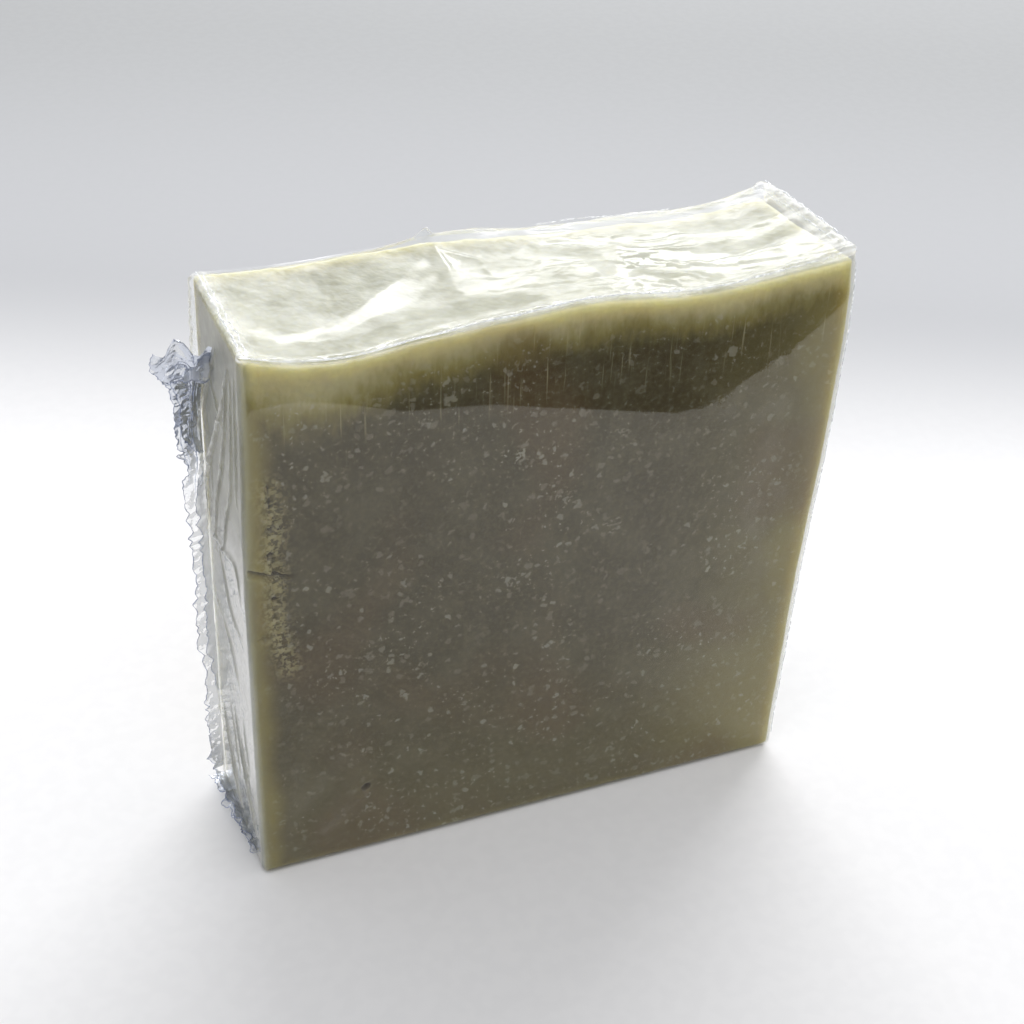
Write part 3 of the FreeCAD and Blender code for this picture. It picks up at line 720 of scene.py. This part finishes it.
# Ruffled seals
def tube_along(path, radii, sides=6):
    """Points and quads of a thin tube along a path."""
    along = np.gradient(path, axis=0)
    along /= np.linalg.norm(along, axis=1, keepdims=True)
    across = np.cross(along, (0.3, 1.0, 0.2))
    across /= np.linalg.norm(across, axis=1, keepdims=True)
    other = np.cross(along, across)
    rings = []
    for step in range(sides):
        turn = 2 * math.pi * step / sides
        rings.append(path + radii[:, None] * (across * math.cos(turn) + other * math.sin(turn)))
    points = np.stack(rings, axis=1).reshape(-1, 3)
    quads = []
    for row in range(len(path) - 1):
        for step in range(sides):
            after = (step + 1) % sides
            here, further = row * sides, (row + 1) * sides
            quads.append((here + step, here + after, further + after, further + step))
    return points, quads


def seal_piece(name, grid, crumple, materials, seed, bead, haze, creases=()):
    """A crumpled sheet of film through a grid of places, with a bead along its cut edge and sharp creases."""
    rows, columns = grid.shape[:2]
    grid_low = grid[0, 0, 2]
    places = grid.reshape(-1, 3)
    share = np.tile(np.linspace(0, 1, columns), rows)
    heights = places[:, 2].copy()
    for step, scale in enumerate((0.55, 1.3, 2.8)):
        towards_edge = share ** np.interp(heights, (56, 66), (0.7, 0.35))
        amount = np.interp(heights, *zip(*crumple)) * towards_edge / (1.4 ** step)
        for axis in range(3):
            places[:, axis] += amount * noise_of(places, scale, seed + 7.3 * axis + step)
    places[:, 2] = np.maximum(places[:, 2], 0.15)
    quads = []
    for row in range(rows - 1):
        for column in range(columns - 1):
            corner = row * columns + column
            quads.append((corner, corner + 1, corner + columns + 1, corner + columns))
    sheet = places.reshape(rows, columns, 3)
    parts = [places]
    shift = len(places)
    paths = [(sheet[:, -1], bead)]
    for start, start_share, end, end_share in creases:
        steps = np.linspace(0, 1, 50)
        across = np.clip(((start - grid_low) + (end - start) * steps) / ROW_STEP, 0, rows - 1).astype(int)
        along = (start_share + (end_share - start_share) * steps) * (columns - 1)
        along = np.clip(along, 0, columns - 1).astype(int)
        places_along = sheet[across, along]
        blurred = [np.convolve(places_along[:, axis], np.ones(7) / 7, "valid") for axis in range(3)]
        paths.append((np.column_stack(blurred), 0.9 * bead))
    tube_from = []
    for path, radius in paths:
        tube_from.append(len(quads))
        taper = np.sin(np.linspace(0.15, math.pi - 0.15, len(path))) ** 0.3
        tube, tube_quads = tube_along(path, radius * taper * (1 + 0.6 * noise_of(path, 1.5, seed + 3)))
        parts.append(tube)
        quads += [tuple(corner + shift for corner in quad) for quad in tube_quads]
        shift += len(tube)
    cloud = np.interp(heights, *zip(*haze)) * smooth_step(share, -0.25, 0.6)
    on_tubes = np.ones(shift - len(places))
    dulled = np.interp(heights, *zip(*SEAL_DULL))
    shades = {GATHERED: np.concatenate([cloud, on_tubes]), DULLED: np.concatenate([dulled, 0 * on_tubes])}
    piece = make_piece(name, np.vstack(parts), quads, materials, shades)
    piece.visible_shadow = False
    for number, polygon in enumerate(piece.data.polygons):
        tubes = sum(number >= start for start in tube_from)
        polygon.material_index = 0 if tubes == 0 else 1 + int(tubes > 1 and tubes % 3 > 0)
    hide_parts("film_wrap")


def zigzag(place, pitch):
    """Pointed waves from -1 to 1 along a place in millimetres."""
    return 2 * np.abs(2 * (place / pitch % 1) - 1) - 1


# By height: the side seal's cut edge across, its root on the left end, its crumpling, cloudiness and dullness
SEAL_EDGE = (
    (2.5, -39.9), (5, -40.3), (8, -39.9), (12, -40.1), (16, -40.2), (20, -39.9), (25, -40.6), (31, -40.7),
    (38, -40.5), (44, -40.7), (50, -41.1), (52, -40.7), (57, -41.5), (62, -41.5), (66, -41.9), (69, -43.0),
    (71.5, -44.2), (73, -43.6),
)
SEAL_ROOT = ((2, 9.6), (58, 9.6), (61, 9.4), (64.5, 8.0), (68.3, 5.5), (70.5, 3.3), (73.5, 1.0))
SEAL_CRUMPLE = ((10, 0.30), (20, 0.10), (46, 0.10), (52, 0.35), (73, 0.42))
SEAL_HAZE = ((8, 0.6), (18, 0.15), (48, 0.15), (54, 0.75), (73, 1.0))
SEAL_DULL = ((6, 0.5), (14, 1.0), (48, 1.0), (56, 0.3), (62, 0.0))
# Creases fanned over the ear: height and share of the reach where each starts and ends
FAN = (
    (73.0, 0.05, 57.0, 0.55), (72.6, 0.15, 62.0, 0.85), (71.5, 0.1, 53.0, 0.7), (72.8, 0.3, 66.0, 1.0),
    (69.0, 0.2, 51.0, 0.35), (72.0, 0.5, 68.5, 1.0), (66.0, 0.35, 49.0, 0.8), (64.0, 0.7, 52.0, 0.95),
    (61.0, 0.2, 47.0, 0.6), (68.0, 0.6, 60.0, 0.8),
)
FOOT_CRUMPLE = ((0, 0.4), (3, 0.4))
FOOT_HAZE = ((0, 0.7), (3, 0.7))
FOOT_COLUMNS = 10
ROW_STEP = 0.16
SEAL_PITCH = 3.3


def side_grid(low, high, reach_share, edge_back, columns=18):
    """Grid of a flap of the side seal between two heights, from its root to a cut edge at one depth."""
    heights = np.arange(low, high, ROW_STEP)
    wander = heights + 2.0 * np.sin(heights * 0.45) + 0.8 * np.sin(heights * 1.37)
    pointed = zigzag(wander, SEAL_PITCH) * smooth_step(heights, 60, 54)
    pointed *= 0.10 + 0.32 * np.abs(np.sin(heights * 0.31 + 0.6)) ** 2
    edge_x = FILM_LEFT + (np.interp(heights, *zip(*SEAL_EDGE)) - FILM_LEFT) * reach_share - pointed
    root_y = np.interp(heights, *zip(*SEAL_ROOT))
    droop = 4.2 * smooth_step(heights, 60, 73)
    ends = np.ones(len(heights))
    if reach_share < 1:
        ends = np.clip(np.minimum(heights - low, high - heights) / 4, 0, 1) ** 0.7
    edge_x = FILM_LEFT + (edge_x - FILM_LEFT) * ends
    grid = np.zeros((len(heights), columns, 3))
    for column in range(columns):
        share = column / (columns - 1)
        middle = math.sin(math.pi * share)
        pleat = 0.3 * middle * np.sin(11 * share + heights * 0.35) * smooth_step(heights, 44, 54)
        grid[:, column, 0] = FILM_LEFT - 0.05 + (edge_x - FILM_LEFT) * share - pleat
        grid[:, column, 1] = root_y + (edge_back - root_y) * share * ends - pleat
        ragged = 1.6 * math.sin(9.0 * share + low) * middle * smooth_step(heights, high - 6, high)
        grid[:, column, 2] = heights - droop * share ** 1.2 + ragged
    return grid


def make_seals():
    """The side seal's flaps with their crumpled ear, and the short seal along the foot."""
    cloudy = film_material("film_gathered", (0.60, 0.63, 0.70, 1), 0.02, 0.9, 0.5, (0.05, 0.12))
    materials = [cloudy, bead_material(), crease_material("film_crease_cool", (0.88, 0.92, 1.0, 1))]
    flaps = (
        ("seal_outer", side_grid(2.5, 73.5, 1.0, 8.9), 2.0, 0.055, FAN),
        ("seal_inner", side_grid(16, 52, 0.6, 7.6), 41.0, 0.05, ()),
        ("seal_ear", side_grid(54, 72.5, 0.85, 7.4), 67.0, 0.05, FAN[::2]),
    )
    for name, grid, seed, bead, creases in flaps:
        seal_piece(name, grid, SEAL_CRUMPLE, materials, seed, bead, SEAL_HAZE, creases)
    backs = np.arange(-7.5, 9.6, ROW_STEP)
    sheets = (("seal_foot", 1.0, 0.15, 91.0), ("seal_foot_upper", 0.8, 0.9, 97.0))
    for name, reach_share, rise, seed in sheets:
        grid = np.zeros((len(backs), FOOT_COLUMNS, 3))
        reach = np.interp(backs, (-7.5, 0, 9.6), (0.5, 1.3, 2.1)) + 0.3 * zigzag(backs, SEAL_PITCH)
        for column in range(FOOT_COLUMNS):
            share = column / (FOOT_COLUMNS - 1)
            grid[:, column, 0] = FILM_LEFT + 0.05 - share * reach * reach_share
            grid[:, column, 1] = backs
            grid[:, column, 2] = 1.1 + share * rise
        seal_piece(name, grid, FOOT_CRUMPLE, materials, seed, 0.07, FOOT_HAZE)


# Creased edges of the wrapping
def edge_lines():
    """Thin bright welts of film along the top's front, right and left edges and down the right side."""
    material = crease_material("film_crease", (0.93, 0.95, 0.97, 1))
    low_x, high_x = FILM_LEFT + 0.5, FILM_RIGHT - 0.3
    front_y, back_y = film_low[1] + 0.35, film_high[1] - 0.35
    runs = (
        ("welt_front", (low_x, front_y), (high_x, front_y), 0.11, 0.12),
        ("welt_right", (high_x + 0.2, front_y), (high_x + 0.2, back_y), 0.12, 0.25),
        ("welt_right_inner", (high_x - 1.1, front_y + 3.0), (high_x - 1.3, back_y), 0.07, 0.25),
        ("welt_left", (low_x + 0.2, front_y), (low_x + 0.2, back_y), 0.13, 0.22),
        ("welt_left_inner", (low_x + 1.0, front_y), (low_x + 0.8, back_y), 0.09, 0.3),
        ("welt_back", (5.5, back_y + 0.1), (24.5, back_y + 0.1), 0.09, 0.15),
    )
    for number, (name, start, end, radius, waver) in enumerate(runs):
        count = int(math.dist(start, end) / 0.2)
        places = np.linspace(start, end, count)
        heights = [film_top(*place) for place in places]
        path = np.column_stack([places, heights])
        for axis in range(3):
            path[:, axis] += waver * noise_of(path, 0.8, 5.0 * number + axis)
        path[:, 2] += 0.05
        add_welt(name, path, radius, number, material)
    zs = np.arange(2.0, 78.0, 0.25)
    path = np.column_stack([np.full(len(zs), FILM_RIGHT + 0.02), np.full(len(zs), front_y + 0.2), zs])
    path[:, 0] += 0.10 * noise_of(path, 0.8, 71.0)
    add_welt("welt_side", path, 0.08, 9, material)


def add_welt(name, path, radius, number, material):
    """One welt: a thin beaded tube of film along a path."""
    path[:, 0] += cut_lean(path)
    taper = np.sin(np.linspace(0.1, math.pi - 0.1, len(path))) ** 0.2
    radii = radius * taper * (1 + 0.7 * noise_of(path, 1.3, 30.0 + number))
    points, quads = tube_along(path, radii)
    piece = make_piece(name, points, quads, [material])
    piece.visible_shadow = False
    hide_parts("film_wrap")


def crease_material(name, tint):
    """Creased film: milky white and half clear, with a bright gloss."""
    graph = Graph(name)
    shade = graph.span(graph.noise(900, 3), 0.3, 0.7)
    milk = graph.add("ShaderNodeBsdfDiffuse", {"Color": tint})
    glow = graph.add("ShaderNodeBsdfTranslucent", {"Color": tint})
    clear = graph.add("ShaderNodeBsdfTransparent", {"Color": (0.97, 0.98, 1.0, 1)})
    bump = graph.add("ShaderNodeBump", {"Strength": 0.5, "Distance": 0.0002, "Height": graph.noise(1900, 3)})
    dull = graph.span(shade, 0.0, 1.0, 0.1, 0.3)
    mirror = graph.add("ShaderNodeBsdfAnisotropic", {"Roughness": dull, "Normal": bump.outputs["Normal"]})
    body = graph.blend(0.5, milk, glow)
    body = graph.blend(graph.span(shade, 0.0, 1.0, 0.25, 0.85), clear, body)
    return graph.finish(graph.blend(0.3, body, mirror).outputs[0])


def bead_material():
    """Melted edge of the film: blue-grey and half clear."""
    graph = Graph("film_bead")
    shade = graph.span(graph.noise(700, 3), 0.3, 0.7)
    colour = graph.mix(shade, (0.17, 0.20, 0.31, 1), (0.42, 0.47, 0.60, 1))
    bump = graph.add("ShaderNodeBump", {"Strength": 0.4, "Distance": 0.0002, "Height": graph.noise(1500, 3)})
    inputs = {
        "Base Color": colour,
        "Roughness": graph.span(shade, 0.0, 1.0, 0.15, 0.35),
        "Normal": bump.outputs["Normal"],
    }
    solid = graph.add("ShaderNodeBsdfPrincipled", inputs)
    clear = graph.add("ShaderNodeBsdfTransparent", {"Color": (0.9, 0.93, 1.0, 1)})
    share = graph.span(graph.noise(300, 2), 0.3, 0.7, 0.45, 0.85)
    return graph.finish(graph.blend(share, clear, solid).outputs[0])


make_soap()
make_film()
make_seals()
edge_lines()


# Floor, light and camera, in metres
FLOOR_REACH = 3.0


def make_card(name, outline, height, material):
    """A flat card over an outline, lying at a height."""
    mesh = bpy.data.meshes.new(name)
    mesh.from_pydata([(*corner, height) for corner in outline], [], [tuple(range(len(outline)))])
    mesh.materials.append(material)
    card = bpy.data.objects.new(name, mesh)
    bpy.context.scene.collection.objects.link(card)
    return card


def make_floor():
    """A pale matt floor, faintly mottled, with painted shade that makes it greyer far behind the pack."""
    graph = Graph("floor_pale")
    x, y, _ = graph.axes()
    behind = graph.math("MULTIPLY", x, -math.sin(CAMERA_AZIMUTH))
    behind = graph.math("MULTIPLY_ADD", y, math.cos(CAMERA_AZIMUTH), behind)
    # Painted shade: greyer with distance behind the pack, measured along the camera's view
    colour = graph.mix(graph.span(behind, 0.060, 0.150), (0.82, 0.815, 0.82, 1), (0.45, 0.455, 0.47, 1))
    colour = graph.mix(graph.span(behind, 0.15, 0.32), colour, (0.35, 0.355, 0.36, 1))
    graph.dimensions = "2D"
    mottle = graph.span(graph.noise(420, 1), 0.35, 0.65, 0.0, 0.04)
    colour = graph.mix(mottle, colour, (0.5, 0.5, 0.52, 1))
    inputs = {"Base Color": colour, "Roughness": 0.8, "Specular IOR Level": 0.0}
    material = graph.finish(graph.add("ShaderNodeBsdfPrincipled", inputs).outputs["BSDF"])
    corners = [(-FLOOR_REACH, -FLOOR_REACH), (FLOOR_REACH, -FLOOR_REACH)]
    corners += [(FLOOR_REACH, FLOOR_REACH), (-FLOOR_REACH, FLOOR_REACH)]
    make_card("floor", corners, 0, material)


# Places on the floor, in millimetres, where the dark that the front face mirrors begins; then the reach and
# the height of the card that makes it, in metres
DARK_EDGE = (
    (-60, -131), (1.6, -125), (18.7, -117.6), (37, -113.7), (54, -106), (68, -99.5), (75, -100.7), (87, -107),
    (99.7, -113.5), (110, -120), (150, -150),
)
FLAG_REACH = 0.9
FLAG_HEIGHT = 0.0006


def make_flag():
    """A dark card in front, seen only in reflections, that ends the pale floor as the room does."""
    graph = Graph("flag_dark")
    shader = graph.add("ShaderNodeEmission", {"Color": (0.012, 0.011, 0.010, 1), "Strength": 1.0})
    outline = [(x * MM, y * MM) for x, y in DARK_EDGE]
    outline += [(FLAG_REACH, outline[-1][1]), (FLAG_REACH, -FLAG_REACH), (-FLAG_REACH, -FLAG_REACH)]
    outline.append((-FLAG_REACH, outline[0][1]))
    flag = make_card("flag", outline, FLAG_HEIGHT, graph.finish(shader.outputs[0]))
    flag.visible_camera = False
    flag.visible_diffuse = False
    flag.visible_shadow = False
    flag.visible_transmission = False


def area_light(name, place, size, power):
    """A soft rectangular light at a place in metres, turned to the pack's middle."""
    data = bpy.data.lights.new(name, "AREA")
    data.shape = "RECTANGLE"
    data.size, data.size_y = size
    data.energy = power
    light = bpy.data.objects.new(name, data)
    light.location = place
    towards = Vector((0, 0, 0.04)) - Vector(place)
    light.rotation_euler = towards.to_track_quat("-Z", "Y").to_euler()
    bpy.context.scene.collection.objects.link(light)


def make_light():
    """A bright window behind, a softer ceiling, and a pale room, hardly brighter on the camera's side."""
    forward = Vector((-math.sin(CAMERA_AZIMUTH), math.cos(CAMERA_AZIMUTH), 0))
    right = Vector((math.cos(CAMERA_AZIMUTH), math.sin(CAMERA_AZIMUTH), 0))
    area_light("window", forward * 0.66 + right * 0.08 + Vector((0, 0, 0.54)), (0.74, 0.34), 6.2)
    area_light("ceiling", forward * -0.3 + Vector((0, 0, 1.0)), (0.9, 0.9), 2.5)
    world = bpy.data.worlds.new("room")
    world.use_nodes = True
    tree = world.node_tree
    background = next(node for node in tree.nodes if node.type == "BACKGROUND")
    place = tree.nodes.new("ShaderNodeTexCoord")
    toward = tree.nodes.new("ShaderNodeVectorMath")
    toward.operation = "DOT_PRODUCT"
    toward.inputs[1].default_value = forward
    tree.links.new(place.outputs["Generated"], toward.inputs[0])
    level = tree.nodes.new("ShaderNodeMapRange")
    level.interpolation_type = "SMOOTHSTEP"
    for key, value in (("From Min", -0.7), ("From Max", 0.3), ("To Min", 0.66), ("To Max", 0.64)):
        level.inputs[key].default_value = value
    tree.links.new(toward.outputs["Value"], level.inputs["Value"])
    tree.links.new(level.outputs["Result"], background.inputs["Strength"])
    background.inputs["Color"].default_value = (0.97, 0.98, 1.0, 1)
    bpy.context.scene.world = world


def make_camera():
    """The photograph's viewpoint: its place, its turn about three axes and its lens."""
    sin_a, cos_a = math.sin(CAMERA_AZIMUTH), math.cos(CAMERA_AZIMUTH)
    sin_e, cos_e = math.sin(CAMERA_ELEVATION), math.cos(CAMERA_ELEVATION)
    back = Vector((sin_a * cos_e, -cos_a * cos_e, sin_e))
    right = Vector((cos_a, sin_a, 0))
    up = back.cross(right)
    across = right * math.cos(CAMERA_ROLL) + up * math.sin(CAMERA_ROLL)
    upward = up * math.cos(CAMERA_ROLL) - right * math.sin(CAMERA_ROLL)
    turn = Matrix((across, upward, back)).transposed().to_4x4()
    data = bpy.data.cameras.new("camera")
    data.lens = CAMERA_LENS
    data.sensor_width = 36
    data.clip_start = 0.01
    camera = bpy.data.objects.new("camera", data)
    camera.matrix_world = Matrix.Translation(Vector(CAMERA_PLACE) * MM) @ turn
    bpy.context.scene.collection.objects.link(camera)
    bpy.context.scene.camera = camera


make_floor()
make_flag()
make_light()
make_camera()
bpy.context.scene.view_settings.view_transform = "Standard"
bpy.context.scene.cycles.transparent_max_bounces = 32
